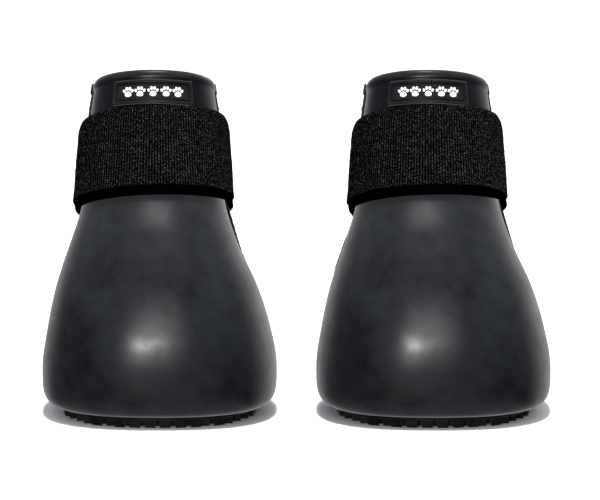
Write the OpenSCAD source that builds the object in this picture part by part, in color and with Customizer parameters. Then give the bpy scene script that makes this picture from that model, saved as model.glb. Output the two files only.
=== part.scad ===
// A pair of moulded-rubber dog boots with hook-and-loop ankle straps, millimetres.
// Each boot stands on the ground at z = 0 with its toe towards -Y. Angles round the boot
// count from the toe (0) over +X (90) to the heel (180).

/* [Pair] */
// Distance between the middles of the two boots
boot_spacing = 84.7; // [80:0.1:140]

/* [Foot] */
// Width of the rubber foot at its widest
foot_w = 72.6; // [66:0.1:80]
// Length of the rubber foot
foot_l = 81; // [76:0.5:90]
// Thickness of the rubber wall
wall = 2.2; // [1.6:0.1:2.8]
// How far the bottom edge is rounded in
edge_round = 7; // [5:0.5:8]

/* [Shaft] */
// Width of the shaft at the collar
collar_w = 36.2; // [33:0.1:40]
// Height of the middle of the collar above the ground
collar_h = 100.2; // [98:0.1:101]
// Angle by which the shaft leans back
lean = 19; // [12:0.5:22]
// How far the shaft stands to the left of the foot
sway = 1.8; // [0:0.1:3]
// Angle from the toe at which the rubber ends and the rear slit begins
slit_angle = 108; // [99:9:117]

/* [Sole] */
// Height of the lugs
lug_h = 2.2; // [1.5:0.1:2.6]
// Width of one lug
lug_w = 3.4; // [3:0.1:6]
// Width of the grooves between lugs
groove_w = 1.3; // [1:0.1:2.5]
// Thickness of the foam insole
footbed_t = 3; // [2:0.1:4]

/* [Gusset] */
// Thickness of the rear gusset
gusset_t = 1.1; // [0.8:0.1:1.2]
// Height of the gusset's rounded lower end
gusset_foot = 20; // [17:0.5:24]

/* [Strap] */
// Width of the pile face of the strap
pile_w = 25.4; // [22:0.1:26]
// Height of the smooth selvedge below the pile
selvedge_w = 3; // [1:0.1:3.5]
// Thickness of the strap
strap_t = 1.4; // [1:0.1:1.6]
// Angle from the toe at which the strap's hinges sit, on both sides
hinge_angle = 92; // [90:1:95]

/* [Badge] */
// Half of the angle that the badge spans
badge_half = 35.5; // [28:0.5:38]
// Width of the badge's raised rim
badge_rim = 1; // [0.8:0.1:1.4]
// Number of paw prints on the badge
paw_count = 5; // [3:1:5]

/* [Hidden] */

gap = 0.3;                       // clearance between stacked layers
half_w = foot_w / 2;
half_l = foot_l / 2;
half_c = collar_w / 2;
sole_top = lug_h + 1.1;          // the outsole's plate is 1.1 thick above the lugs
widest_h = 13.5;                 // height at which the foot is widest
ring_step = 12.5;                // rings of the shape follow each other this far apart
floor_h = sole_top + wall;       // inner floor of the shell
bead_h = 3;                      // height of the rolled bead
bead_r = 0.5;                    // how far the bead stands proud
columns = 40;                    // facets round the boot
row_step = ring_step / 2;
slit_row = 4;                    // row of the shell at which the slit starts
y_shift = 2.6;                   // centres the boot's box on the origin

// Rings from the widest level of the foot to the collar, ring_step apart.
// [middle across, middle along, tilt, half width, reach to the toe, reach to the heel, squareness]
RINGS = [
    [0,            -1.5, 0,           half_w,        1.020 * half_l, 0.980 * half_l, 2.5],
    [-0.10 * sway, -1.5, 0.21 * lean, 0.950 * half_w, 1.017 * half_l, 0.930 * half_l, 2.45],
    [-0.45 * sway, -0.8, 0.50 * lean, 0.860 * half_w, 0.923 * half_l, 0.820 * half_l, 2.35],
    [-0.90 * sway, 0.6,  0.79 * lean, 1.447 * half_c, 1.650 * half_c, 1.530 * half_c, 2.25],
    [-sway,        3.7,  0.97 * lean, 1.223 * half_c, 1.251 * half_c, 1.296 * half_c, 2.15],
    [-sway,        7.9,  lean,        1.162 * half_c, 1.162 * half_c, 1.212 * half_c, 2.1],
    [-sway,        12.2, lean,        1.100 * half_c, 1.112 * half_c, 1.150 * half_c, 2.1],
    [-sway,        16.5, lean,        half_c,         1.039 * half_c, 1.061 * half_c, 2.1]
];
last_ring = len(RINGS) - 1;

// A ring of the table; past its lower end the table is mirrored, past its upper end it runs on
function table_ring(i) =
    i > last_ring ? 2 * RINGS[last_ring] - RINGS[last_ring - 1] : RINGS[abs(i)];

// The ring whose middle is at height h, as a smooth curve through the table
function ring(h) =
    let (s = (h - widest_h) / ring_step, i = min(max(floor(s), 0), last_ring - 1), f = s - i)
    let (a = table_ring(i - 1), b = table_ring(i), c = table_ring(i + 1), d = table_ring(i + 2))
    0.5 * (2 * b + (c - a) * f + (2 * a - 5 * b + 4 * c - d) * f * f + (3 * b - a - 3 * c + d) * f * f * f);

function bent(v, power) = sign(v) * pow(abs(v), power);

// A point at ring height h and angle phi, on the boot's skin or out beyond it, and raised by up
function skin(h, phi, out = 0, up = 0) =
    let (r = ring(h), reach = (cos(phi) > 0 ? r[4] : r[5]) + out)
    let (x = (r[3] + out) * bent(sin(phi), 2 / r[6]), y = -reach * bent(cos(phi), 2 / r[6]))
    [r[0] + x, r[1] + y_shift + y * cos(r[2]), h - y * sin(r[2]) + up];

// Two triangles for each cell of a grid, and for its borders, all facing outwards
function face_out(a, b, c, d) = [[a, d, c], [a, c, b]];
function face_in(a, b, c, d) = [[a, c, d], [a, b, c]];

// A closed sheet between two grids of points, rows going up and columns going round
module sheet(outer, inner) {
    rows = len(outer) - 1;
    cols = len(outer[0]) - 1;
    inner_start = (rows + 1) * (cols + 1);
    function p(i, j) = i * (cols + 1) + j;
    function q(i, j) = inner_start + p(i, j);
    faces = concat(
        [for (i = [0:rows - 1], j = [0:cols - 1])
            each face_out(p(i, j), p(i, j + 1), p(i + 1, j + 1), p(i + 1, j))],
        [for (i = [0:rows - 1], j = [0:cols - 1])
            each face_in(q(i, j), q(i, j + 1), q(i + 1, j + 1), q(i + 1, j))],
        [for (j = [0:cols - 1]) each face_out(p(0, j + 1), p(0, j), q(0, j), q(0, j + 1))],
        [for (j = [0:cols - 1]) each face_out(p(rows, j), p(rows, j + 1), q(rows, j + 1), q(rows, j))],
        [for (i = [0:rows - 1]) each face_out(p(i, 0), p(i + 1, 0), q(i + 1, 0), q(i, 0))],
        [for (i = [0:rows - 1]) each face_out(p(i + 1, cols), p(i, cols), q(i, cols), q(i + 1, cols))]
    );
    polyhedron([for (row = outer) each row, for (row = inner) each row], faces, convexity = 6);
}

// A strip of even thickness that follows the skin, from angle a0 to a1 and height h0 to h1
module band(a0, a1, h0, h1, inside, thick, cols, rows) {
    function at(i, j, out) = skin(h0 + (h1 - h0) * i / rows, a0 + (a1 - a0) * j / cols, out);
    sheet(
        [for (i = [0:rows]) [for (j = [0:cols]) at(i, j, inside + thick)]],
        [for (i = [0:rows]) [for (j = [0:cols]) at(i, j, inside)]]
    );
}

// One length of thread between two points
module thread(from, to, radius = 0.25) {
    run = to - from;
    translate(from)
        rotate([0, acos(run[2] / norm(run)), atan2(run[1], run[0])])
            cylinder(h = norm(run), r = radius, $fn = 6);
}

// Stands a child, drawn upwards from z = 0, on the skin
module on_skin(h, phi, out) {
    translate(skin(h, phi, out)) rotate([-lean, 0, 0]) rotate([0, 0, phi]) rotate([90, 0, 0]) children();
}

// ---- the rubber shell: a foot closed all round, open at the rear above slit_row ----

edge_power = 0.55;                // below 1, the bottom edge is fuller than an ellipse
edge_rows = [0, 8, 30, 60];
wall_rows = [for (i = [0:13]) widest_h + i * row_step];
function edge_row(angle, drop, round_in, out) =
    [widest_h, out - round_in * (1 - pow(sin(angle), edge_power)), -drop * pow(cos(angle), edge_power)];
// The rolled bead: height below the collar's top, and how far out
bead = [[-bead_h, 0], [-0.75 * bead_h, bead_r], [-0.3 * bead_h, bead_r], [0, -0.3]];
shell_outer = concat(
    [for (a = edge_rows) edge_row(a, widest_h - sole_top, edge_round, 0)],
    [for (h = wall_rows) [h, 0, 0]],
    [for (b = bead) [collar_h + b[0], b[1], 0]]
);
shell_inner = concat(
    [for (a = edge_rows) edge_row(a, widest_h - floor_h, edge_round - 1, -wall)],
    [for (h = wall_rows) [h, -wall, 0]],
    [for (b = [-1, -0.75, -0.3, 0]) [collar_h + b * bead_h, -wall, 0]]
);

module shell() {
    rows = len(shell_outer) - 1;
    slit_col = round(slit_angle * columns / 360);
    first_open = len(edge_rows) + slit_row;
    inner_start = (rows + 1) * columns;
    function p(i, j) = i * columns + j % columns;
    function q(i, j) = inner_start + p(i, j);
    function open(i, j) = i >= first_open && j >= slit_col && j < columns - slit_col;
    points = [
        for (r = concat(shell_outer, shell_inner))
            for (j = [0:columns - 1]) skin(r[0], 360 * j / columns, r[1], r[2])
    ];
    faces = concat(
        [for (i = [0:rows - 1], j = [0:columns - 1]) if (!open(i, j))
            each face_out(p(i, j), p(i, j + 1), p(i + 1, j + 1), p(i + 1, j))],
        [for (i = [0:rows - 1], j = [0:columns - 1]) if (!open(i, j))
            each face_in(q(i, j), q(i, j + 1), q(i + 1, j + 1), q(i + 1, j))],
        [[for (j = [0:columns - 1]) p(0, j)]],
        [[for (j = [columns - 1:-1:0]) q(0, j)]],
        [for (j = [0:columns - 1]) if (!open(rows, j))
            each face_out(p(rows, j), p(rows, j + 1), q(rows, j + 1), q(rows, j))],
        [for (j = [slit_col:columns - slit_col - 1])
            each face_out(p(first_open, j), p(first_open, j + 1), q(first_open, j + 1), q(first_open, j))],
        [for (i = [first_open:rows - 1])
            each face_out(p(i + 1, slit_col), p(i, slit_col), q(i, slit_col), q(i + 1, slit_col))],
        [for (i = [first_open:rows - 1], j = [columns - slit_col])
            each face_out(p(i, j), p(i + 1, j), q(i + 1, j), q(i, j))]
    );
    color("#2b2e33") polyhedron(points, faces, convexity = 10);
}

// ---- the rear gusset and what holds it ----

gusset_half = 180 - hinge_angle - 1;      // half angle it spans above its rounded foot
gusset_round = 28;                        // height over which its foot is rounded
gusset_top = collar_h - bead_h - 0.4;
gusset_waist = gusset_foot + gusset_round;

// Height and half angle of the gusset's edge: rounded up to t = 0.5, straight from there up to t = 1
function gusset_edge(t) =
    t < 0.5
        ? let (a = 12 + 156 * t) [gusset_waist - gusset_round * cos(a), gusset_half * sin(a)]
        : [gusset_waist + (gusset_top - gusset_waist) * (2 * t - 1), gusset_half];

module rear_gusset() {
    rows = 14;
    cols = 18;
    function at(i, j, out) = let (e = gusset_edge(i / rows)) skin(e[0], 180 + e[1] * (2 * j / cols - 1), out);
    color("#15161a") sheet(
        [for (i = [0:rows]) [for (j = [0:cols]) at(i, j, gap + gusset_t)]],
        [for (i = [0:rows]) [for (j = [0:cols]) at(i, j, gap)]]
    );
}

module collar_binding() {
    color("#101114")
        band(slit_angle + 2, 358 - slit_angle, gusset_top + 0.2, collar_h, -0.6, gusset_t + 1.4, 16, 2);
}

module gusset_stitching() {
    count = 44;
    margin = 3;                           // the thread runs this many degrees inside the gusset's edge
    out = gap + gusset_t + 0.35;
    function at(t, side) = let (e = gusset_edge(t)) skin(e[0], 180 + side * (e[1] - margin), out);
    color("#303238") for (side = [-1, 1], i = [1:count - 2])
        if (!under_strap(gusset_edge(i / count)[0]))
            thread(at(i / count, side), at((i + 0.6) / count, side));
}

// ---- the sole ----

sole_inset = edge_round - 0.6;    // from the foot's widest outline to the outsole's edge
bed_inset = edge_round + 1.5;     // and to the insole's edge
function outline(out, h = widest_h) = [
    for (j = [0:columns - 1]) let (p = skin(h, 360 * j / columns, out)) [p[0], p[1]]
];

module outsole() {
    pitch = lug_w + groove_w;
    rows = ceil(foot_l / pitch / 2);
    color("#141417") {
        translate([0, 0, lug_h]) linear_extrude(sole_top - lug_h) polygon(outline(-sole_inset));
        linear_extrude(lug_h) intersection() {
            polygon(outline(-sole_inset));
            union() for (i = [-rows:rows], j = [-rows:rows])
                translate([(j + (i % 2 == 0 ? 0 : 0.5)) * pitch - lug_w / 2, i * pitch - lug_w / 2])
                    square(lug_w);
        }
    }
}

module footbed() {
    color("#3a3b40")
        translate([0, 0, floor_h + gap]) linear_extrude(footbed_t) polygon(outline(-bed_inset));
}

module footbed_cover() {
    color("#1d1e22") translate([0, 0, floor_h + 2 * gap + footbed_t])
        linear_extrude(0.8) polygon(outline(-bed_inset));
}

// ---- the strap: a sewn anchor, a front band and a closing tab ----

pile_bottom = 65;                                   // ring height of the pile's lower edge
strap_bottom = pile_bottom - selvedge_w * cos(lean);
strap_top = pile_bottom + pile_w * cos(lean);
strap_in = 2 * gap + gusset_t;                      // inside of the strap, outside the skin
strap_out = strap_in + strap_t;
hinge_gap = 3.6;                                    // degrees left free on each side of a hinge
strap_rows = 6;                                     // facets across the width of the strap
anchor_end = -165;
tab_end = 242;
hook_t = 0.8;
tab_lift = strap_t + hook_t + 2 * gap;              // the tab's end lies over the anchor
function under_strap(h) = h > strap_bottom - 2 && h < strap_top + 2;
function tab_out(phi) =
    let (t = min(max((phi - 140) / 45, 0), 1)) strap_in + tab_lift * t * t * (3 - 2 * t);

module strap_anchor() {
    color("#17171a")
        band(anchor_end, -hinge_angle - hinge_gap, strap_bottom, strap_top, strap_in, strap_t, 8, strap_rows);
}

module strap_front() {
    reach = hinge_angle - hinge_gap;
    color("#17171a") band(-reach, reach, strap_bottom, strap_top, strap_in, strap_t, 22, strap_rows);
}

module strap_tab() {
    rows = strap_rows;
    cols = 18;
    start = hinge_angle + hinge_gap;
    function phi(j) = start + (tab_end - start) * j / cols;
    function at(i, j, out) =
        skin(strap_bottom + (strap_top - strap_bottom) * i / rows, phi(j), tab_out(phi(j)) + out);
    color("#17171a") sheet(
        [for (i = [0:rows]) [for (j = [0:cols]) at(i, j, strap_t)]],
        [for (i = [0:rows]) [for (j = [0:cols]) at(i, j, 0)]]
    );
}

module hook_patch() {
    color("#0c0c0e")
        band(198, tab_end - 3, strap_bottom + 2, strap_top - 2, strap_out + gap, hook_t - 0.1, 6, strap_rows);
}

// A closed line of stitches round a rectangle on the skin, with its two diagonals
module anchor_stitching() {
    a0 = -116;
    a1 = -100;
    h0 = strap_bottom + 5;
    h1 = strap_top - 5;
    out = strap_out + 0.4;
    corners = [[a0, h0], [a1, h0], [a1, h1], [a0, h1]];
    lines = [[0, 1, 3], [1, 2, 8], [2, 3, 3], [3, 0, 8], [0, 2, 9], [1, 3, 9]];
    function at(line, t) =
        let (c = corners[line[0]] * (1 - t) + corners[line[1]] * t) skin(c[1], c[0], out);
    color("#303238") for (line = lines, i = [0:line[2] - 1])
        if (line[2] < 9 || abs(i - 4) > 0)
            thread(at(line, (i + 0.2) / line[2]), at(line, (i + 0.75) / line[2]));
}

// Two rows of stitches where the tab is sewn on
module tab_stitching() {
    count = 10;
    out = strap_out + 0.4;
    function at(t, phi) = skin(strap_bottom + 1.5 + (strap_top - strap_bottom - 3) * t, phi, out);
    color("#303238") for (phi = [hinge_angle + hinge_gap + 3, hinge_angle + hinge_gap + 9], i = [0:count - 1])
        thread(at((i + 0.2) / count, phi), at((i + 0.8) / count, phi));
}

// ---- the badge ----

badge_bottom = strap_top + 0.5;
badge_top = gusset_top + 0.1;
badge_in = 0.15;
badge_panel = 1.0;                                  // outside of the recessed panel
badge_out = 1.5;                                    // outside of the rim
step = 0.1;

module badge() {
    rim_angle = badge_rim * 3;                      // a millimetre is about 3 degrees here
    heights = [
        badge_bottom, badge_bottom + badge_rim, badge_bottom + badge_rim + step,
        badge_top - badge_rim - step, badge_top - badge_rim, badge_top
    ];
    inner_half = badge_half - rim_angle;
    inside = [for (k = [-5:5]) k * (inner_half - 0.4) / 5];
    angles = concat([-badge_half, -inner_half], inside, [inner_half, badge_half]);
    rim_row = [1, 1, 0, 0, 1, 1];
    last = len(angles) - 1;
    function out(i, j) = rim_row[i] == 1 || j < 2 || j > last - 2 ? badge_out : badge_panel;
    color("#1b1c20") sheet(
        [for (i = [0:5]) [for (j = [0:last]) skin(heights[i], angles[j], out(i, j))]],
        [for (i = [0:5]) [for (j = [0:last]) skin(heights[i], angles[j], badge_in)]]
    );
}

// A paw print: a pad and four toes, each [across, up, radius]
PAW = [[0, -0.65, 0.85], [-1.2, 0.15, 0.38], [-0.45, 0.8, 0.42], [0.45, 0.8, 0.42], [1.2, 0.15, 0.38]];

module badge_mark() {
    paw_pitch = 10.4;                               // degrees between paw prints
    middle = (badge_bottom + badge_top) / 2;
    color("white") for (k = [0:paw_count - 1])
        on_skin(middle, (k - (paw_count - 1) / 2) * paw_pitch, badge_panel - 0.1)
            for (part = PAW) translate([part[0], part[1], 0]) cylinder(h = 0.55, r = part[2], $fn = 12);
}

module left() { translate([-boot_spacing / 2, 0, 0]) children(); }
module right() { translate([boot_spacing / 2, 0, 0]) children(); }

left() shell();  // left_shell
left() rear_gusset();  // left_rear_gusset
left() collar_binding();  // left_collar_binding
left() gusset_stitching();  // left_gusset_stitching
left() outsole();  // left_outsole
left() footbed();  // left_footbed
left() footbed_cover();  // left_footbed_cover
left() strap_anchor();  // left_strap_anchor
left() anchor_stitching();  // left_anchor_stitching
left() strap_front();  // left_strap_front
left() strap_tab();  // left_strap_tab
left() hook_patch();  // left_hook_patch
left() tab_stitching();  // left_tab_stitching
left() badge();  // left_badge
left() badge_mark();  // left_badge_mark
right() shell();  // right_shell
right() rear_gusset();  // right_rear_gusset
right() collar_binding();  // right_collar_binding
right() gusset_stitching();  // right_gusset_stitching
right() outsole();  // right_outsole
right() footbed();  // right_footbed
right() footbed_cover();  // right_footbed_cover
right() strap_anchor();  // right_strap_anchor
right() anchor_stitching();  // right_anchor_stitching
right() strap_front();  // right_strap_front
right() strap_tab();  // right_strap_tab
right() hook_patch();  // right_hook_patch
right() tab_stitching();  // right_tab_stitching
right() badge();  // right_badge
right() badge_mark();  // right_badge_mark
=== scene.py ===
"""Looks of a pair of moulded-rubber dog boots, built round the CAD frame.

Blender works in metres. Shapes are worked out in millimetres, in one boot's own frame, and
every mesh is moved to its place in the pair. Angles round a boot count from the toe (0)
over +X (90) to the heel (180).
"""

import math

import bmesh
import bpy
import numpy as np
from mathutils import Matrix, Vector


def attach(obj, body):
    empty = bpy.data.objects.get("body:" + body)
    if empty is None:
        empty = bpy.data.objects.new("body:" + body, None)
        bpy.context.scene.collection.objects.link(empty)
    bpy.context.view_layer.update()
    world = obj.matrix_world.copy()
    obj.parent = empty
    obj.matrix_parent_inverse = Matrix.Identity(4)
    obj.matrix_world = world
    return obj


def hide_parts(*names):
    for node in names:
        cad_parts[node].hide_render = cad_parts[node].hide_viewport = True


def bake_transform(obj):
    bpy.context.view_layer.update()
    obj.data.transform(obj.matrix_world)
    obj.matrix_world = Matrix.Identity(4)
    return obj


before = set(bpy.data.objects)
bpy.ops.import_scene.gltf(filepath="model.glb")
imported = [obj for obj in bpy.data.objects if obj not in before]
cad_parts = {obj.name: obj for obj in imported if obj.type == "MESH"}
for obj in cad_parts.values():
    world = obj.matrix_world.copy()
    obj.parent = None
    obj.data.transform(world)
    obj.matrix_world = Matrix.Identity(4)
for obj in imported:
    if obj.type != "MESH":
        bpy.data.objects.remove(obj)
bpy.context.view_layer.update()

MM = 0.001

# ---- the shape of one boot, as in the CAD -------------------------------------------------

SPACING = 84.7
FOOT_W, FOOT_L, WALL, EDGE_ROUND = 72.6, 81.0, 2.2, 7.0
COLLAR_W, COLLAR_H, LEAN, SWAY = 36.2, 100.2, 19.0, 1.8
SLIT_ANGLE = 108
LUG_H, LUG_W, GROOVE_W = 2.2, 3.4, 1.3
FOOTBED_T, GUSSET_T = 3.0, 1.1
PILE_W, SELVEDGE_W, STRAP_T = 25.4, 3.0, 1.4
HINGE_ANGLE = 92
GAP = 0.3
SOLE_TOP, WIDEST_H, RING_STEP, Y_SHIFT = 3.3, 13.5, 12.5, 2.6
FOOT_MIDDLE_Y = -1.5
FLOOR_H = SOLE_TOP + WALL
SOLE_INSET, BED_INSET = EDGE_ROUND - 0.6, EDGE_ROUND + 1.5  # in from the foot's widest outline
SLIT_H = 38.5
EDGE_POWER = 0.55  # below 1, the bottom edge is fuller than an ellipse
TOE_ROLL, TOE_ROLL_H = 0.1, 20.5  # the toe's skin is drawn in, more and more below this height
ROLL_EASE = 7  # the roll grows over this height, and is straight below it

W, L, C = FOOT_W / 2, FOOT_L / 2, COLLAR_W / 2
# Middle across, middle along, tilt, half width, reach to the toe, reach to the heel, squareness
RINGS = np.array([
    [0, FOOT_MIDDLE_Y, 0, W, 1.020 * L, 0.980 * L, 2.5],
    [-0.10 * SWAY, FOOT_MIDDLE_Y, 0.21 * LEAN, 0.950 * W, 1.017 * L, 0.930 * L, 2.45],
    [-0.45 * SWAY, -0.8, 0.50 * LEAN, 0.860 * W, 0.923 * L, 0.820 * L, 2.35],
    [-0.90 * SWAY, 0.6, 0.79 * LEAN, 1.447 * C, 1.650 * C, 1.530 * C, 2.25],
    [-SWAY, 3.7, 0.97 * LEAN, 1.223 * C, 1.251 * C, 1.296 * C, 2.15],
    [-SWAY, 7.9, LEAN, 1.162 * C, 1.162 * C, 1.212 * C, 2.1],
    [-SWAY, 12.2, LEAN, 1.100 * C, 1.112 * C, 1.150 * C, 2.1],
    [-SWAY, 16.5, LEAN, C, 1.039 * C, 1.061 * C, 2.1],
])
# The table is mirrored below its first ring and runs on above its last
PADDED = np.vstack([RINGS[1], RINGS, 2 * RINGS[-1] - RINGS[-2]])


def ring(h):
    """The ring whose middle is at height h, on a smooth curve through the table."""
    s = (np.asarray(h, float) - WIDEST_H) / RING_STEP
    i = np.clip(np.floor(s).astype(int), 0, len(RINGS) - 2)
    f = (s - i)[..., None]
    a, b, c, d = (PADDED[i + k] for k in range(4))
    square, cube = 2 * a - 5 * b + 4 * c - d, 3 * b - a - 3 * c + d
    return 0.5 * (2 * b + (c - a) * f + square * f**2 + cube * f**3)


def bent(v, power):
    """v to a power, keeping its sign."""
    return np.sign(v) * np.abs(v) ** power


def skin(h, phi, out=0.0, up=0.0):
    """Points at ring height h and angle phi, on the boot's skin or out beyond it."""
    h, phi, out, up = np.broadcast_arrays(*(np.asarray(x, float) for x in (h, phi, out, up)))
    r = ring(h)
    a = np.radians(phi)
    reach = np.where(np.cos(a) > 0, r[..., 4], r[..., 5]) + out
    x = (r[..., 3] + out) * bent(np.sin(a), 2 / r[..., 6])
    y = -reach * bent(np.cos(a), 2 / r[..., 6])
    tilt = np.radians(r[..., 2])
    along = r[..., 1] + Y_SHIFT + y * np.cos(tilt)
    return np.stack([r[..., 0] + x, along, h - y * np.sin(tilt) + up], -1)


def smooth(x, a, b):
    """0 below a, 1 above b, and smooth between."""
    t = np.clip((np.asarray(x, float) - a) / (b - a), 0, 1)
    return t * t * (3 - 2 * t)


PILE_BOTTOM = 65  # ring height of the pile's lower edge
STRAP_BOTTOM = PILE_BOTTOM - SELVEDGE_W * math.cos(math.radians(LEAN))
STRAP_TOP = PILE_BOTTOM + PILE_W * math.cos(math.radians(LEAN))
STRAP_ARC_H = 76  # ring height at which the strap's length is measured
STRAP_TILT = 0.8  # how far it rises on the +X side and sinks on the other
STRAP_IN = 2 * GAP + GUSSET_T
STRAP_RUN = (STRAP_TOP - STRAP_BOTTOM) / math.cos(math.radians(LEAN))  # its width on the flat
STRAP_EDGE = 0.35  # width of its rounded edge
TOP_HUG, LOW_HUG = 4.6, 3.6  # widths over which its two edges draw in to the boot
RIB = 0.8  # pitch of the pile's ribs
HINGE_GAP = 3.6  # degrees from the hinge to the seam between band and tab
ANCHOR_END, TAB_END = -165, 242  # degrees at which the strap starts and ends
HOOK_T = 0.8
TAB_LIFT = STRAP_T + HOOK_T + 2 * GAP
GUSSET_TOP = COLLAR_H - 3.4
GUSSET_HALF = 180 - HINGE_ANGLE - 1  # degrees, where the gusset's sides are straight
GUSSET_WAIST, GUSSET_ROUND = 48, 28  # ring height where its lower edge starts, and how deep it is
BINDING_H = 98.6  # ring height of the collar binding's middle


def strap_inside(v, phi):
    """How far out the inside of the strap lies, at v up its width. Both edges hug the boot, the
    lower one less on the +X side, where the closing tab holds it off."""
    d_top, d_low = np.clip((STRAP_RUN - v) / TOP_HUG, 0, 1), np.clip(v / LOW_HUG, 0, 1)
    low = 0.9 - 0.8 * smooth(np.sin(np.radians(phi)), 0.6, 0.95)
    in_top, in_low = (1 - np.sqrt(1 - (1 - d) ** 2) for d in (d_top, d_low))
    return STRAP_IN - in_top - low * in_low


def strap_surface(v, phi):
    """Outside of the strap's backing, thinner at its edges."""
    return STRAP_IN + 1.75 * (strap_inside(v, phi) - STRAP_IN) + 0.85


def strap_outside(u, v, phi):
    """Outside of the strap: ribs of uneven pile up the band, ending in a smooth selvedge below."""
    rib = np.abs(np.sin(math.pi * u / RIB)) ** 0.8
    on = smooth(v, SELVEDGE_W - 0.12, SELVEDGE_W + 0.12)
    fluff = 0.22 * np.random.default_rng(7).random(u.shape) ** 2
    return strap_surface(v, phi) + on * (0.3 + 0.2 * rib + fluff)


def tab_in(phi):
    """How far out the inside of the closing tab lies: its end is over the anchor."""
    return STRAP_IN + TAB_LIFT * smooth(phi, 140, 185)


# ---- mesh making ---------------------------------------------------------------------------


def place_of(side):
    """Where a boot's own frame lies in the frame of the pair."""
    return np.array([-SPACING / 2 if side == "left" else SPACING / 2, 0, 0])


def new_object(name, side, points, faces, uv=None, sharp=None):
    """One piece, from points in millimetres in the boot's own frame."""
    mesh = bpy.data.meshes.new(f"{side}_{name}")
    mesh.from_pydata(((np.asarray(points, float) + place_of(side)) * MM).tolist(), [], faces)
    if uv is not None:
        corner = np.empty(len(mesh.loops), np.int32)
        mesh.loops.foreach_get("vertex_index", corner)
        cut = mesh.uv_layers.new(name="Cut").data
        cut.foreach_set("uv", np.asarray(uv, np.float32)[corner].ravel())
    bm = bmesh.new()
    bm.from_mesh(mesh)
    bmesh.ops.recalc_face_normals(bm, faces=bm.faces)
    bm.to_mesh(mesh)
    bm.free()
    mesh.polygons.foreach_set("use_smooth", [True] * len(mesh.polygons))
    if sharp:
        mesh.set_sharp_from_angle(angle=math.radians(sharp))
    obj = bpy.data.objects.new(f"{side}_{name}", mesh)
    bpy.context.scene.collection.objects.link(obj)
    return obj


def spread(length, count, edge):
    """Places from 0 to length, closer together within edge of both ends."""
    near = edge * np.array([0, 0.06, 0.22, 0.5])
    return np.concatenate([near, np.linspace(edge, length - edge, count), length - near[::-1]])


def slab(name, side, at, us, vs, inner, outer, edge, sharp=None):
    """A closed sheet. at(u, v, out) gives points for places us and vs in millimetres on the flat
    sheet. Its two faces lie at inner and outer, and meet in a rounded edge all round."""
    u, v = np.meshgrid(us, vs, indexing="ij")
    near_u = np.minimum(u - us[0], us[-1] - u)
    near_v = np.minimum(v - vs[0], vs[-1] - v)

    def rounded(d):
        return np.sqrt(np.clip(1 - (1 - np.clip(d / edge, 0, 1)) ** 2, 0, 1))

    share = rounded(near_u) * rounded(near_v)
    inner, outer = (x(u, v) if callable(x) else np.full(u.shape, float(x)) for x in (inner, outer))
    middle = (inner + outer) / 2
    half = (outer - inner) / 2 * share
    top, bottom = at(u, v, middle + half), at(u, v, middle - half)
    n, m = u.shape
    outer_id = np.arange(n * m).reshape(n, m)
    inner_id = outer_id.copy()
    inner_id[1:-1, 1:-1] = n * m + np.arange((n - 2) * (m - 2)).reshape(n - 2, m - 2)
    points = np.concatenate([top.reshape(-1, 3), bottom[1:-1, 1:-1].reshape(-1, 3)])
    uv = np.stack([u, v], -1)
    uvs = np.concatenate([uv.reshape(-1, 2), uv[1:-1, 1:-1].reshape(-1, 2)])

    def quads(g):
        return np.stack([g[:-1, :-1], g[1:, :-1], g[1:, 1:], g[:-1, 1:]], -1).reshape(-1, 4)

    faces = np.concatenate([quads(outer_id), quads(inner_id)[:, ::-1]])
    return new_object(name, side, points, faces.tolist(), uvs, sharp)


def arc(h, a0, a1, out=0.0):
    """Length round the skin from angle a0 to a1, and a function from length back to angle."""
    angles = np.linspace(a0, a1, 400)
    p = skin(h, angles, out)
    run = np.concatenate([[0], np.cumsum(np.linalg.norm(np.diff(p, axis=0), axis=1))])
    return run[-1], lambda d: np.interp(d, run, angles)


def join_parts(parts):
    """Several lists of points and faces as one."""
    points, faces, start = [], [], 0
    for p, f in parts:
        points.append(np.asarray(p, float))
        faces += [[start + i for i in face] for face in f]
        start += len(p)
    return np.concatenate(points), faces


def stacked(n, m):
    """Faces of a closed solid whose points are n rings of m, one above another."""
    faces = [[i * m + j, i * m + (j + 1) % m, (i + 1) * m + (j + 1) % m, (i + 1) * m + j]
             for i in range(n - 1) for j in range(m)]
    return faces + [list(range(m))[::-1], [(n - 1) * m + j for j in range(m)]]


ASKEW = [0.31, 0.52, 0.79]  # a direction that no tube runs along


def tube(path, radii, sides=8):
    """A closed tube along a short path, its ends drawn together by small radii."""
    path = np.asarray(path, float)
    along = np.gradient(path, axis=0)
    along /= np.linalg.norm(along, axis=1)[:, None]
    side_way = np.cross(along, ASKEW)
    side_way /= np.linalg.norm(side_way, axis=1)[:, None]
    third = np.cross(along, side_way)
    turn = np.linspace(0, 2 * math.pi, sides, endpoint=False)
    rings = [p + r * (np.outer(np.cos(turn), a) + np.outer(np.sin(turn), b))
             for p, r, a, b in zip(path, radii, side_way, third)]
    return np.concatenate(rings), stacked(len(path), sides)


def stitches(name, side, runs, radius=0.24):
    """Stitches, each a thread that rises from the cloth, lies on it and goes down again.
    runs holds (a function of t and out, its start, its end, the cloth's surface) for each."""
    parts = []
    for at, t0, t1, out in runs:
        t = t0 + (t1 - t0) * np.array([0, 0.05, 0.2, 0.5, 0.8, 0.95, 1])
        rise = np.array([-0.3, -0.02, 0.16, 0.22, 0.16, -0.02, -0.3])
        path = np.array([at(x, out + r) for x, r in zip(t, rise)])
        parts.append(tube(path, radius * np.array([0.7, 0.95, 1, 1.05, 1, 0.95, 0.7])))
    return new_object(name, side, *join_parts(parts), sharp=60)


# ---- materials -----------------------------------------------------------------------------


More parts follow.
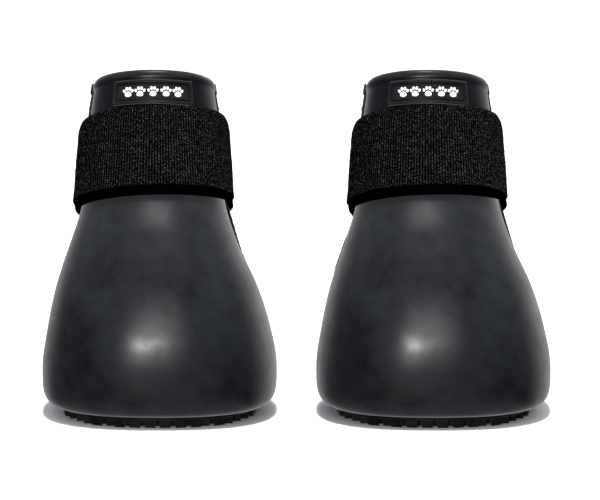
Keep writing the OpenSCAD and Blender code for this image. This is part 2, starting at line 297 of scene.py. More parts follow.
def add_node(tree, kind, inputs=(), **settings):
    """A shader node, whose inputs are values or other nodes' outputs."""
    n = tree.nodes.new("ShaderNode" + kind)
    for key, value in settings.items():
        setattr(n, key, value)
    for key, value in dict(inputs).items():
        if isinstance(value, bpy.types.NodeSocket):
            tree.links.new(value, n.inputs[key])
        else:
            n.inputs[key].default_value = value
    return n


def set_stops(ramp_node, stops):
    """Gives a ramp its stops of (place, colour or grey)."""
    elements = ramp_node.color_ramp.elements
    while len(elements) < len(stops):
        elements.new(0.5)
    for element, (place, colour) in zip(elements, stops):
        element.position = place
        element.color = (*(colour if isinstance(colour, tuple) else (colour,) * 3), 1)


class Shader:
    """A small helper for building one node material."""

    def __init__(self, name):
        self.material = bpy.data.materials.new(name)
        self.material.use_nodes = True
        self.tree = self.material.node_tree
        self.tree.nodes.clear()
        out = self.tree.nodes.new("ShaderNodeOutputMaterial")
        self.bsdf = self.tree.nodes.new("ShaderNodeBsdfPrincipled")
        self.tree.links.new(self.bsdf.outputs[0], out.inputs["Surface"])

    def node(self, kind, inputs=(), **settings):
        return add_node(self.tree, kind, inputs, **settings)

    def math(self, operation, a, b=0.0, c=0.0):
        return self.node("Math", {0: a, 1: b, 2: c}, operation=operation).outputs[0]

    def noise(self, where, scale, detail=4.0, roughness=0.55):
        return self.node("TexNoise", {
            "Vector": where, "Scale": scale, "Detail": detail, "Roughness": roughness}).outputs[0]

    def ramp(self, value, stops):
        """A colour or grey that follows value through stops."""
        n = self.node("ValToRGB", {0: value})
        set_stops(n, stops)
        return n.outputs[0]

    def object_place(self):
        """Place in metres, which repeats from one boot to the other."""
        xyz = self.node("SeparateXYZ", {0: self.node("TexCoord").outputs["Object"]}).outputs
        x = self.math("SUBTRACT", self.math("FLOORED_MODULO", xyz[0], SPACING * MM), SPACING * MM)
        return self.node("CombineXYZ", {0: x, 1: xyz[1], 2: xyz[2]}).outputs[0]

    def cut_place(self):
        """Place on the flat cloth, in millimetres."""
        return self.node("UVMap", uv_map="Cut").outputs[0]

    def bump(self, height, distance, strength=1.0, below=None):
        inputs = {"Height": height, "Distance": distance, "Strength": strength}
        if below is not None:
            inputs["Normal"] = below
        return self.node("Bump", inputs).outputs[0]

    def set(self, **inputs):
        for key, value in inputs.items():
            key = key.replace("_", " ")
            if isinstance(value, bpy.types.NodeSocket):
                self.tree.links.new(value, self.bsdf.inputs[key])
            else:
                self.bsdf.inputs[key].default_value = value


CUFF_SPAN = 200  # millimetres up the shaft that the ramp of the cuff's painted shade covers


def rubber(name, dark, light, rough, bump=1.0, specular=0.5, cuff=None):
    """Moulded rubber: cloudy colour, a faint uneven skin and a fine matte grain. Between the two
    heights of cuff, which are measured up the leaning shaft, it is darker in colour and in the tint
    of its reflection: painted shade."""
    s = Shader(name)
    where = s.object_place()
    cloud = s.noise(where, 55, 6, 0.62)
    smudge = s.noise(where, 210, 5, 0.6)
    grain = s.noise(where, 2600, 3, 0.6)
    mix = s.math("ADD", s.math("MULTIPLY", cloud, 0.6), s.math("MULTIPLY", smudge, 0.3))
    mix = s.math("ADD", mix, s.math("MULTIPLY", grain, 0.1))
    # Painted shade: a band up the shaft, over the cuff, where the colour and the tint of its
    # reflection are darkened
    if cuff is not None:
        lean = math.radians(LEAN)
        shaft = (0, math.sin(lean), math.cos(lean))
        up = s.node("VectorMath", {0: where, 1: shaft}, operation="DOT_PRODUCT").outputs["Value"]
        low, high = cuff[0] / CUFF_SPAN, cuff[1] / CUFF_SPAN
        band = s.ramp(s.math("MULTIPLY", up, 1 / MM / CUFF_SPAN),
                      [(low, 0.0), (low + 0.02, 1.0), (high, 1.0), (high + 0.003, 0.0)])
        mix = s.math("SUBTRACT", mix, s.math("MULTIPLY", band, 0.3))
    s.set(Base_Color=s.ramp(mix, [(0.4, dark), (0.6, light)]))
    s.set(Specular_Tint=s.ramp(mix, [(0.22, 0.22), (0.42, 0.84), (0.58, 1.0)]))
    worn = s.math("ADD", s.math("MULTIPLY", smudge, 0.5), s.math("MULTIPLY", cloud, 0.5))
    s.set(Roughness=s.ramp(worn, [(0.35, rough + 0.05), (0.65, rough - 0.05)]))
    uneven = s.bump(s.noise(where, 80, 2, 0.45), 0.00011 * bump)
    s.set(Normal=s.bump(grain, 0.000025 * bump, 1.0, uneven))
    s.set(Specular_IOR_Level=specular)
    return s.material


def pile(name):
    """Loop pile in ribs: the ribs are in the mesh, and the loops and fluff are here, with painted
    glints, a painted highlight along the rib crests with painted shade between them, and a
    near-black selvedge that is partly its own dark binding and partly painted shadow under the
    pile's edge.
    """
    s = Shader(name)
    cut = s.cut_place()
    xy = s.node("SeparateXYZ", {0: cut})
    across = s.math("DIVIDE", xy.outputs[0], RIB)
    wander = s.math("MULTIPLY", s.noise(cut, 0.7, 3, 0.6), 0.25)
    turn = s.math("MULTIPLY", s.math("ADD", across, wander), math.pi)
    # Painted highlight along each rib's crest, and painted shade in the valleys between ribs
    crest_highlight = s.math("ABSOLUTE", s.math("SINE", turn))
    loops = s.ramp(s.noise(cut, 2.3, 2, 0.65), [(0.36, 0.0), (0.68, 1.0)])
    fibre = s.ramp(s.noise(cut, 5.5, 2, 0.6), [(0.3, 0.35), (0.7, 1.0)])
    # Painted glints: a few bright spots of colour in place of loops catching the light
    cells = s.node("TexVoronoi", {"Vector": cut, "Scale": 2.4, "Randomness": 1.0}, feature="F1")
    pick = s.node("SeparateColor", {0: cells.outputs["Color"]}).outputs[0]
    one_in_seven = s.math("GREATER_THAN", pick, 0.86)
    painted_glint = s.math("MULTIPLY", one_in_seven, s.math("LESS_THAN", cells.outputs["Distance"], 0.4))
    # Below the pile the selvedge is painted near black: partly its own dark binding, partly painted
    # shadow under the pile's edge
    on = s.ramp(s.math("DIVIDE", xy.outputs[1], SELVEDGE_W), [(0.97, 0.0), (1.0, 1.0)])
    body = s.math("MULTIPLY", s.math("POWER", crest_highlight, 1.3), s.math("MULTIPLY", loops, fibre))
    body = s.math("ADD", s.math("MULTIPLY", body, 0.9), s.math("MULTIPLY", crest_highlight, 0.2))
    shade = s.math("MULTIPLY", on, s.math("ADD", body, s.math("MULTIPLY", painted_glint, 0.45)))
    s.set(Base_Color=s.ramp(shade, [(0.0, 0.0002), (0.16, 0.0008),
                                    (0.42, (0.003, 0.003, 0.0032)), (0.85, (0.062, 0.062, 0.064))]))
    s.set(Roughness=s.ramp(loops, [(0.0, 0.8), (1.0, 0.5)]))
    nap = s.math("ADD", s.math("MULTIPLY", loops, 0.7), s.math("MULTIPLY", fibre, 0.5))
    s.set(Normal=s.bump(nap, 0.00018))
    s.set(Specular_IOR_Level=0.0)
    return s.material


def cloth(name, dark, light, pitch_u, pitch_v, rough=0.85, depth=0.00012, sheen=0.1, knit=False):
    """Woven or knitted cloth, drawn on the flat sheet in millimetres."""
    s = Shader(name)
    cut = s.cut_place()
    xy = s.node("SeparateXYZ", {0: cut})
    fluff = s.noise(cut, 1.7, 4, 0.65)
    u = s.math("DIVIDE", xy.outputs[0], pitch_u)
    v = s.math("DIVIDE", xy.outputs[1], pitch_v)
    if knit:  # V-shaped stitches in columns
        v = s.math("ADD", v, s.math("MULTIPLY", s.math("PINGPONG", u, 0.5), 1.1))
    else:
        v = s.math("ADD", v, s.math("MULTIPLY", s.math("FLOOR", u), 0.5))
    a = s.math("ABSOLUTE", s.math("SINE", s.math("MULTIPLY", u, math.pi)))
    b = s.math("ABSOLUTE", s.math("SINE", s.math("MULTIPLY", v, math.pi)))
    yarn = s.math("MULTIPLY", s.math("POWER", a, 0.6), s.math("POWER", b, 0.6))
    shade = s.math("ADD", s.math("MULTIPLY", yarn, 0.7), s.math("MULTIPLY", fluff, 0.4))
    s.set(Base_Color=s.ramp(shade, [(0.15, dark), (0.85, light)]))
    s.set(Roughness=s.ramp(fluff, [(0.3, rough + 0.06), (0.7, rough - 0.06)]))
    s.set(Normal=s.bump(shade, depth))
    s.set(Specular_IOR_Level=0.3, Sheen_Weight=sheen, Sheen_Roughness=0.5)
    return s.material


def thread_look(name, dark, light):
    """Twisted thread: fine slanting plies."""
    s = Shader(name)
    where = s.object_place()
    ply = s.node("TexWave", {"Vector": where, "Scale": 700.0, "Distortion": 1.5, "Detail": 1.0},
                 wave_type="BANDS", bands_direction="DIAGONAL").outputs[1]
    s.set(Base_Color=s.ramp(ply, [(0.0, dark), (1.0, light)]))
    s.set(Roughness=s.ramp(s.noise(where, 900), [(0.3, 0.6), (0.7, 0.48)]))
    s.set(Normal=s.bump(ply, 0.00008))
    s.set(Sheen_Weight=0.15)
    return s.material


def foam(name):
    """Closed-cell foam: fine pores."""
    s = Shader(name)
    where = s.object_place()
    pores = s.node("TexVoronoi", {"Vector": where, "Scale": 1400.0}, feature="F1").outputs[0]
    cloud = s.noise(where, 120)
    shade = s.math("ADD", s.math("MULTIPLY", pores, 0.6), s.math("MULTIPLY", cloud, 0.4))
    s.set(Base_Color=s.ramp(shade, [(0.2, (0.035, 0.035, 0.04)), (0.7, (0.06, 0.06, 0.066))]))
    s.set(Roughness=s.ramp(cloud, [(0.3, 0.95), (0.7, 0.85)]))
    s.set(Normal=s.bump(pores, 0.0001))
    return s.material


LOOKS = {
    # The shell's rubber carries painted shade on its cuff, from 85 to 97.3 mm up the shaft
    "shell_rubber": rubber("shell_rubber", (0.002, 0.0024, 0.0034), (0.0085, 0.0098, 0.0125),
                           rough=0.33, bump=0.5, specular=0.36, cuff=(85, 97.3)),
    "outsole_rubber": rubber("outsole_rubber", (0.002, 0.002, 0.0022), (0.007, 0.007, 0.0075),
                             rough=0.65, bump=1.0, specular=0.08),
    "gusset_fabric": cloth("gusset_fabric", (0.002, 0.002, 0.0024), (0.0105, 0.0105, 0.012),
                           pitch_u=0.7, pitch_v=0.6, knit=True),
    "binding_tape": cloth("binding_tape", (0.004, 0.004, 0.0045), (0.016, 0.016, 0.018),
                          pitch_u=0.45, pitch_v=0.7),
    "thread": thread_look("thread", (0.012, 0.012, 0.014), (0.045, 0.046, 0.05)),
    "strap_pile": pile("strap_pile"),
    "hook_tape": rubber("hook_tape", (0.004, 0.004, 0.0045), (0.011, 0.011, 0.012),
                        rough=0.5, bump=0.4),
    "badge_rubber": rubber("badge_rubber", (0.003, 0.003, 0.0035), (0.007, 0.007, 0.008),
                           rough=0.42, bump=0.6, specular=0.25),
    "badge_white": rubber("badge_white", (0.82, 0.82, 0.8), (0.92, 0.92, 0.91),
                          rough=0.45, bump=0.3),
    "footbed_foam": foam("footbed_foam"),
    "footbed_fabric": cloth("footbed_fabric", (0.008, 0.008, 0.0095), (0.026, 0.026, 0.03),
                            pitch_u=0.6, pitch_v=0.6, rough=0.9, depth=0.0001, sheen=0.25),
}


def dress(obj, look, *nodes):
    """Gives a piece its material and slot, and hides the CAD solids that it stands for. Each boot
    mirrors the studio as if it stood alone in it, and only the badge's groove mirrors its rim."""
    obj.data.materials.append(LOOKS[look])
    obj.visible_glossy = look == "badge_rubber"
    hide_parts(*nodes)
    return obj


# ---- the pieces ----------------------------------------------------------------------------

# The bead's section from outside to inside: height from the collar's top, and how far out
BEAD = [[-3.0, 0], [-2.75, 0.12], [-2.5, 0.3], [-2.2, 0.45], [-1.8, 0.53], [-1.3, 0.5],
        [-0.85, 0.36], [-0.45, 0.12], [-0.15, -0.2], [0, -0.62], [0, -1.1], [-0.13, -1.55],
        [-0.4, -1.92], [-0.8, -2.12], [-1.3, -2.2]]
WALL_STEP = RING_STEP / 8


def shell(side):
    """The rubber foot and shaft: closed below, slit at the rear, with a rolled bead on top."""
    cols = 160
    slit = round(SLIT_ANGLE * cols / 360)
    fillet = np.concatenate([[0, 0.6, 2, 4, 7, 11, 16, 22], np.arange(30, 90, 7.5)])

    def edge_rows(drop, round_in, out):
        a = np.radians(fillet)
        full = zip(np.sin(a) ** EDGE_POWER, np.cos(a) ** EDGE_POWER)
        return [[WIDEST_H, out - round_in * (1 - s), -drop * c] for s, c in full]

    wall_h = np.arange(WIDEST_H, COLLAR_H - 3.2, WALL_STEP)
    outer = edge_rows(WIDEST_H - SOLE_TOP, EDGE_ROUND, 0) + [[h, 0, 0] for h in wall_h]
    over = [[COLLAR_H + h, out, 0] for h, out in BEAD]
    inner = edge_rows(WIDEST_H - FLOOR_H, EDGE_ROUND - 1, -WALL) + [[h, -WALL, 0] for h in wall_h]
    rows = np.array(outer + over + inner[::-1])  # ring height, how far out, how far up
    angles = np.arange(cols) * 360 / cols
    points = skin(rows[:, None, 0], angles[None, :], rows[:, None, 1], rows[:, None, 2])
    below = np.clip(TOE_ROLL_H - points[:len(outer), :, 2], 0, None)
    drawn_in = TOE_ROLL * np.where(
        below < ROLL_EASE, below**2 / (2 * ROLL_EASE), below - ROLL_EASE / 2)
    points[:len(outer), :, 1] += drawn_in * np.clip(np.cos(np.radians(angles)), 0, 1) ** 1.5
    points = points.reshape(-1, 3)
    last = len(rows) - 1
    first_open = len(fillet) + round((SLIT_H - WIDEST_H) / WALL_STEP)

    def p(i, j):
        return i * cols + j % cols

    def is_open(i, j):
        return first_open <= i < last - first_open and slit <= j < cols - slit

    faces = [[p(i, j), p(i, j + 1), p(i + 1, j + 1), p(i + 1, j)]
             for i in range(last) for j in range(cols) if not is_open(i, j)]
    faces.append([p(0, j) for j in range(cols)][::-1])
    faces.append([p(last, j) for j in range(cols)])
    outside, inside = first_open, last - first_open
    faces += [[p(outside, j), p(outside, j + 1), p(inside, j + 1), p(inside, j)]
              for j in range(slit, cols - slit)]
    wall_top = len(outer) - 1
    for j in (slit, cols - slit):
        faces += [[p(i, j), p(i + 1, j), p(last - i - 1, j), p(last - i, j)]
                  for i in range(first_open, wall_top)]
        faces.append([p(i, j) for i in range(wall_top, last - wall_top + 1)])
    obj = new_object("moulded_shell", side, points, faces, sharp=42)
    return dress(obj, "shell_rubber", f"{side}_shell")


def gusset_edge(t):
    """Height and half angle of the gusset's edge: rounded up to t = 0.5, straight above."""
    a = np.radians(12 + 156 * np.minimum(t, 0.5))
    low = t < 0.5
    straight = GUSSET_WAIST + (GUSSET_TOP - GUSSET_WAIST) * (2 * t - 1)
    h = np.where(low, GUSSET_WAIST - GUSSET_ROUND * np.cos(a), straight)
    return h, GUSSET_HALF * np.where(low, np.sin(a), 1)


def gusset_out(h, phi):
    """Outside of the gusset. It bellies out at the rear, lies flat under the strap, and its two
    edges thin away towards the foot, the one on the +X side less."""
    left, right = smooth(phi - 180, 35, 72), smooth(180 - phi, 35, 72)
    belly = 1.4 + 1.3 * smooth(h, 20, 38) * (1 - smooth(h, 46, 60))
    left_edge = 0.12 + 0.4 * smooth(h, 41, 46) * (1 - smooth(h, 52, 56)) + 0.85 * smooth(h, 88, 90)
    right_edge = 0.15 + 1.0 * smooth(h, 44, 60) - 0.5 * smooth(h, 62, 64)
    out = belly + left * (left_edge - belly) + right * (right_edge - belly)
    above = h - STRAP_TILT * np.sin(np.radians(phi)) - STRAP_BOTTOM
    v = above / (STRAP_TOP - STRAP_BOTTOM) * STRAP_RUN
    held = smooth(v, -0.8, 0.2) * (1 - smooth(v, STRAP_RUN - 0.2, STRAP_RUN + 0.8))
    under = strap_inside(np.clip(v, 0, STRAP_RUN), phi) - 0.12
    return np.where(held > 0, out + held * (np.minimum(out, under) - out), out)


def rear_gusset(side):
    """Stretch knit over the slit, its edge lying on the outside of the rubber."""
    height, width = 82.0, 78.0
    ts = spread(1, 96, 0.02)
    ss = spread(1, 84, 0.02)

    def where(u, v):
        h, half = gusset_edge(v / height)
        return h, 180 + half * (2 * u / width - 1)

    def at(u, v, out):
        h, phi = where(u, v)
        return skin(h, phi, out)

    obj = slab("knit_gusset", side, at, ss * width, ts * height, 0.03,
               lambda u, v: gusset_out(*where(u, v)), 0.9)
    dress(obj, "gusset_fabric", f"{side}_rear_gusset")
    u, v = np.meshgrid(np.linspace(0, width, 60), np.linspace(0, height, 60), indexing="ij")
    p = at(u, v, gusset_out(*where(u, v)) / 2)
    return obj


def collar_binding(side):
    """Tape folded over the top of the gusset. Its ends lie on the outside of the rubber."""
    start = HINGE_ANGLE + 1
    length, angle = arc(BINDING_H, start, 360 - start, 1)
    us = spread(length, 120, 0.8)
    phi = angle(us)[:, None]
    beyond = np.minimum(phi - start, 360 - start - phi)
    outside = 1.9 - (0.5 + 0.5 * (phi < 180)) * (1 - smooth(beyond, 4, 22))
    inside = 0.62 - 1.22 * smooth(beyond, SLIT_ANGLE - start + 1, SLIT_ANGLE - start + 5)
    turn = np.radians(np.linspace(0, 360, 28, endpoint=False))
    close = np.minimum(1, np.sqrt(np.clip(np.minimum(us, length - us) / 0.6, 0.02, 1)))[:, None]
    half_h = (COLLAR_H - GUSSET_TOP - 0.1) / 2
    loop_h = half_h * bent(np.sin(turn), 0.6)
    loop_out = bent(np.cos(turn), 0.6)
    points = skin(GUSSET_TOP + 0.1 + half_h + close * loop_h, phi,
                  (outside + inside) / 2 + close * loop_out * (outside - inside) / 2)
    n, m = len(us), len(turn)
    faces = [[i * m + j, (i + 1) * m + j, (i + 1) * m + (j + 1) % m, i * m + (j + 1) % m]
             for i in range(n - 1) for j in range(m)]
    faces += [list(range(m)), [(n - 1) * m + j for j in range(m)]]
    run = np.concatenate([[0], np.cumsum(np.hypot(np.diff(loop_h), np.diff(loop_out)))])
    uv = np.stack(np.meshgrid(us, run, indexing="ij"), -1).reshape(-1, 2)
    obj = new_object("folded_binding", side, points.reshape(-1, 3), faces, uv)
    return dress(obj, "binding_tape", f"{side}_collar_binding")


def gusset_thread(side):
    """Stitches along both edges of the gusset, margin degrees in, but not under the strap."""
    count, margin = 44, 7
    runs = []
    for way in (-1, 1):
        def at(t, out, way=way):
            h, half = gusset_edge(np.array(t))
            phi = 180 + way * (half - margin)
            return skin(h, phi, gusset_out(h, phi) + out)

        for i in range(1, count - 1):
            h = float(gusset_edge(np.array(i / count))[0])
            if not STRAP_BOTTOM - 2 < h < STRAP_TOP + 2:
                runs.append((at, i / count, (i + 0.66) / count, 0.0))
    return dress(stitches("gusset_thread", side, runs), "thread", f"{side}_gusset_stitching")


def outline(out, count=96):
    """The foot's widest outline seen from above, or one beyond it."""
    return skin(WIDEST_H, np.arange(count) * 360 / count, out)[:, :2]


def flat_area(p):
    """Area inside a flat outline."""
    return 0.5 * abs((p[:, 0] * np.roll(p[:, 1], -1) - np.roll(p[:, 0], -1) * p[:, 1]).sum())


def clip(poly, border):
    """What of a polygon lies inside a convex border that runs anticlockwise."""
    for k in range(len(border)):
        a, b = border[k - 1], border[k]
        way = b - a
        depth = [way[0] * (p[1] - a[1]) - way[1] * (p[0] - a[0]) for p in poly]
        kept = []
        for i, p in enumerate(poly):
            q, d, e = poly[i - 1], depth[i], depth[i - 1]
            if (d >= 0) != (e >= 0):
                kept.append(q + (p - q) * e / (e - d))
            if d >= 0:
                kept.append(p)
        poly = kept
        if not poly:
            break
    return poly


def prism(poly, levels):
    """A closed solid from a flat outline; levels holds (z, how far the outline is drawn in)."""
    poly = np.asarray(poly, float)
    n = len(poly)
    before, after = poly - np.roll(poly, 1, 0), np.roll(poly, -1, 0) - poly
    inward = np.stack([-before[:, 1], before[:, 0]], 1) / np.linalg.norm(before, axis=1)[:, None]
    inward_next = np.stack([-after[:, 1], after[:, 0]], 1) / np.linalg.norm(after, axis=1)[:, None]
    bisector = inward + inward_next
    bisector /= np.maximum(0.5, (bisector * inward).sum(1))[:, None]
    points = np.concatenate(
        [np.column_stack([poly + bisector * d, np.full(n, z)]) for z, d in levels])
    return points, stacked(len(levels), n)


def outsole(side):
    """A plate with square lugs, every other row shifted by half a pitch. Slivers are left out."""
    least_side, least_area = 0.12, 1.2
    bevel = [(0, 0.28), (0.1, 0.14), (0.3, 0.06), (LUG_H + 0.15, 0)]
    parts = [prism(outline(-SOLE_INSET), [(LUG_H, 0.25), (LUG_H + 0.2, 0), (SOLE_TOP - 0.05, 0)])]
    border = outline(-SOLE_INSET, 48)
    pitch = LUG_W + GROOVE_W
    rows = math.ceil(FOOT_L / pitch / 2)
    for i in range(-rows, rows + 1):
        for j in range(-rows, rows + 1):
            x = (j + (0 if i % 2 == 0 else 0.5)) * pitch
            y = i * pitch
            square = [np.array([x + a * LUG_W / 2, y + b * LUG_W / 2])
                      for a, b in ((-1, -1), (1, -1), (1, 1), (-1, 1))]
            lug = clip(square, border)
            lug = [p for k, p in enumerate(lug) if np.linalg.norm(p - lug[k - 1]) > least_side]
            if len(lug) >= 3 and flat_area(np.array(lug)) > least_area:
                parts.append(prism(lug, bevel))
    obj = new_object("lugged_sole", side, *join_parts(parts), sharp=35)
    return dress(obj, "outsole_rubber", f"{side}_outsole")


def pad(name, side, z0, z1, rise, edge, rings=26):
    """A flat pad in the outline of the foot, its edge rounded and turned up by rise."""
    cols = 96
    last_tenth = 0.1 * (1 - np.sin(np.radians(np.arange(15, 91, 15))))
    share = np.concatenate([np.linspace(0, 0.9, rings), 1 - last_tenth])
    rim, middle = outline(-BED_INSET, cols), np.array([0, FOOT_MIDDLE_Y + Y_SHIFT])
    reach = np.linalg.norm(rim - middle, axis=1).mean()
    near = (1 - share) * reach
    full = np.sqrt(np.clip(1 - (1 - np.clip(near / edge, 0, 1)) ** 2, 0, 1))
    lift = rise * share**6
    z_mid, half = (z0 + z1) / 2, (z1 - z0) / 2
    points, uv = [], []
    for way in (1, -1):
        for s, f, up in zip(share, full, lift):
            flat = middle + (rim - middle) * s
            points.append(np.column_stack([flat, np.full(cols, z_mid + up + way * half * f)]))
            uv.append(flat)
    n = len(share)
    faces = []
    for base, way in ((0, 1), (n * cols, -1)):
        for i in range(1, n - 1):
            for j in range(cols):
                quad = [base + i * cols + j, base + (i + 1) * cols + j,
                        base + (i + 1) * cols + (j + 1) % cols, base + i * cols + (j + 1) % cols]
                faces.append(quad[::way])
        faces.append([base + cols + j for j in range(cols)][::way])
    obj = new_object(name, side, np.concatenate(points), faces, np.concatenate(uv), 50)
    bm = bmesh.new()
    bm.from_mesh(obj.data)
    bmesh.ops.delete(bm, geom=[v for v in bm.verts if not v.link_faces], context="VERTS")
    bmesh.ops.remove_doubles(bm, verts=bm.verts, dist=1e-6)
    bmesh.ops.recalc_face_normals(bm, faces=bm.faces)
    bm.to_mesh(obj.data)
    bm.free()
    return obj


def insole(side):
    """A foam core and its fabric cover."""
    base = FLOOR_H + GAP
    core = pad("foam_insole", side, base, base + FOOTBED_T, 0, 1.2)
    dress(core, "footbed_foam", f"{side}_footbed")
    base += FOOTBED_T + GAP
    cover = pad("insole_fabric", side, base, base + 0.8, 0.5, 0.5)
    dress(cover, "footbed_fabric", f"{side}_footbed_cover")
    rim = outline(-BED_INSET)
    return core, cover


def strap_places(length):
    """Places along and across the strap, close enough for its ribs and its step."""
    ribs = np.arange(0.3, length - 0.3, RIB / 4)
    us = np.concatenate([[0, 0.05, 0.15], ribs, [length - 0.15, length - 0.05, length]])
    step = SELVEDGE_W + np.array([-0.6, -0.25, -0.12, -0.04, 0.04, 0.12, 0.3, 0.7])
    middle = np.arange(SELVEDGE_W + 1.2, STRAP_RUN - 3.6, 0.55)
    top = STRAP_RUN - np.array([3.4, 2.6, 1.9, 1.3, 0.9, 0.6, 0.35, 0.15, 0.04, 0])
    vs = np.concatenate([[0, 0.05, 0.2, 0.45, 0.9, 1.6], step, middle, top])
    return us, vs


def strap_height(v, phi):
    """Ring height at v up the strap's width. The strap sits a little lower on the -X side."""
    level = STRAP_BOTTOM + (STRAP_TOP - STRAP_BOTTOM) * v / STRAP_RUN
    return level + STRAP_TILT * np.sin(np.radians(phi))


def bend_line(side, angle, back, front):
    """Two points either side of a strap hinge, along the strap, in the frame of the pair."""
    at_hinge = skin((STRAP_BOTTOM + STRAP_TOP) / 2, angle, STRAP_IN + STRAP_T / 2) + place_of(side)
    toe = np.array([0, -math.cos(math.radians(LEAN)), math.sin(math.radians(LEAN))])
    return Vector((at_hinge - toe * back) * MM), Vector((at_hinge + toe * front) * MM)


def strap(side):
    """The band, sewn to the boot on the -X side and running round the front to the +X side, and
    the closing tab, which goes on from there over the rear and ends over the anchor. Returns
    where the tab starts and stops bending at its hinge."""
    end = HINGE_ANGLE - HINGE_GAP
    length, angle = arc(STRAP_ARC_H, ANCHOR_END, end, STRAP_IN)
    us, vs = strap_places(length)
    band = slab("pile_band", side,
                lambda u, v, out: skin(strap_height(v, angle(u)), angle(u), out), us, vs,
                lambda u, v: strap_inside(v, angle(u)),
                lambda u, v: strap_outside(u, v, angle(u)), STRAP_EDGE)
    dress(band, "strap_pile", f"{side}_strap_anchor", f"{side}_strap_front")
    back, front = bend_line(side, -HINGE_ANGLE, 3.4, 3.4)
    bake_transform(band)

    length, angle_tab = arc(STRAP_ARC_H, end, TAB_END, STRAP_IN + 1)
    us, vs = strap_places(length)
    corner = 4.0  # radius of the end's two corners

    def at(u, v, out):
        d = np.clip(corner - (length - u), 0, corner)
        drawn = corner - np.sqrt(corner**2 - d**2)
        half = STRAP_RUN / 2
        v = half + (v - half) * (half - drawn) / half
        phi = angle_tab(u)
        return skin(strap_height(v, phi), phi, out + tab_in(phi) - STRAP_IN)

    tab = slab("closing_tab", side, at, us, vs, lambda u, v: strap_inside(v, angle_tab(u)),
               lambda u, v: strap_outside(u, v, angle_tab(u)), STRAP_EDGE)
    dress(tab, "strap_pile", f"{side}_strap_tab")
    tab_back, tab_front = bend_line(side, HINGE_ANGLE, 5.2, 0.9)
    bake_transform(tab)
    return tab_front, tab_back


def hook_field(side):
    """Moulded hooks on the inside of the tab's end, every other column facing up."""
    start, under = 198, STRAP_IN + TAB_LIFT
    low, run = STRAP_BOTTOM + 2, STRAP_TOP - STRAP_BOTTOM - 4
    pitch_u, pitch_v = 1.25, 1.2
    hook = [(0, 0.4), (0, 0.65), (0.08, 0.85), (0.3, 0.92), (0.42, 0.8)]  # up, in from the tab
    length, angle = arc(STRAP_ARC_H, start, TAB_END - 3, under)
    plate = slab("hook_plate", side, lambda u, v, out: skin(low + v, angle(u), out),
                 spread(length, 20, 0.3), spread(run, 24, 0.3), under - 0.42, under - 0.03, 0.25)
    parts = []
    for i, u in enumerate(np.arange(0.8, length - 0.5, pitch_u)):
        for v in np.arange(0.9 + pitch_v / 2 * (i % 2), run - 0.6, pitch_v):
            way = 1 if i % 2 else -1
            path = np.array([skin(low + v + dv * way, angle(u), under - out) for dv, out in hook])
            parts.append(tube(path, [0.17, 0.13, 0.12, 0.11, 0.09], 5))
    hooks = new_object("hooks", side, *join_parts(parts), sharp=60)
    dress(plate, "hook_tape", f"{side}_hook_patch")
    dress(hooks, "hook_tape")
    return plate, hooks


def anchor_thread(side):
    """A stitched box with its two diagonals, where the strap is sewn to the boot."""
    rear, fore, low, high = -116, -100, STRAP_BOTTOM + 5, STRAP_TOP - 5
    corners = np.array([[rear, low], [fore, low], [fore, high], [rear, high]])
    runs = []
    # From corner, to corner, stitches; the diagonals leave out the one where they would cross
    for start, stop, count in ((0, 1, 3), (1, 2, 8), (2, 3, 3), (3, 0, 8), (0, 2, 9), (1, 3, 9)):
        def at(t, out, start=start, stop=stop):
            c = corners[start] * (1 - t) + corners[stop] * t
            return skin(c[1], c[0], out)

        runs += [(at, (i + 0.15) / count, (i + 0.8) / count, STRAP_IN + STRAP_T - 0.02)
                 for i in range(count) if count < 9 or i != 4]
    return dress(stitches("anchor_thread", side, runs), "thread", f"{side}_anchor_stitching")


def tab_thread(side):
    """Two rows of stitches where the tab is sewn to the band."""
    count, runs = 10, []
    for phi in (HINGE_ANGLE + HINGE_GAP + 3, HINGE_ANGLE + HINGE_GAP + 9):
        def at(t, out, phi=phi):
            v = SELVEDGE_W + 0.6 + (STRAP_RUN - SELVEDGE_W - 2) * t
            return skin(strap_height(v, phi), phi, strap_surface(v, phi) + out)

        runs += [(at, (i + 0.15) / count, (i + 0.85) / count, 0.42) for i in range(count)]
    return dress(stitches("tab_thread", side, runs), "thread", f"{side}_tab_stitching")


BADGE_HALF = 35.5  # degrees
BADGE_BOTTOM, BADGE_TOP = STRAP_TOP + 0.5, GUSSET_TOP + 0.1
MARK_COUNT, MARK_STEP = 5, 10.4  # paw prints, and the degrees between them
MARK_BASE, MARK_RISE = 1.08, 0.42  # how far out they start, and how far they stand out


def badge(side):
    """A moulded plate with a raised rim, a groove inside it and a flat panel."""
    length, angle = arc((BADGE_BOTTOM + BADGE_TOP) / 2, -BADGE_HALF, BADGE_HALF, 1)
    run = BADGE_TOP - BADGE_BOTTOM
    fine = np.array([0, 0.04, 0.12, 0.25, 0.5, 0.75, 0.88, 0.96, 1.04, 1.15, 1.3, 1.42, 1.55, 1.7])
    us = np.concatenate([fine, np.linspace(2, length - 2, 60), length - fine[::-1]])
    vs = np.concatenate([fine, np.linspace(2, run - 2, 10), run - fine[::-1]])

    def outer(u, v):
        d = np.minimum(np.minimum(u, length - u), np.minimum(v, run - v))
        return 1.5 - 0.8 * smooth(d, 0.85, 1.05) + 0.4 * smooth(d, 1.3, 1.6)

    obj = slab("badge_plate", side, lambda u, v, out: skin(BADGE_BOTTOM + v, angle(u), out),
               us, vs, 0.15, outer, 0.3)
    return dress(obj, "badge_rubber", f"{side}_badge")


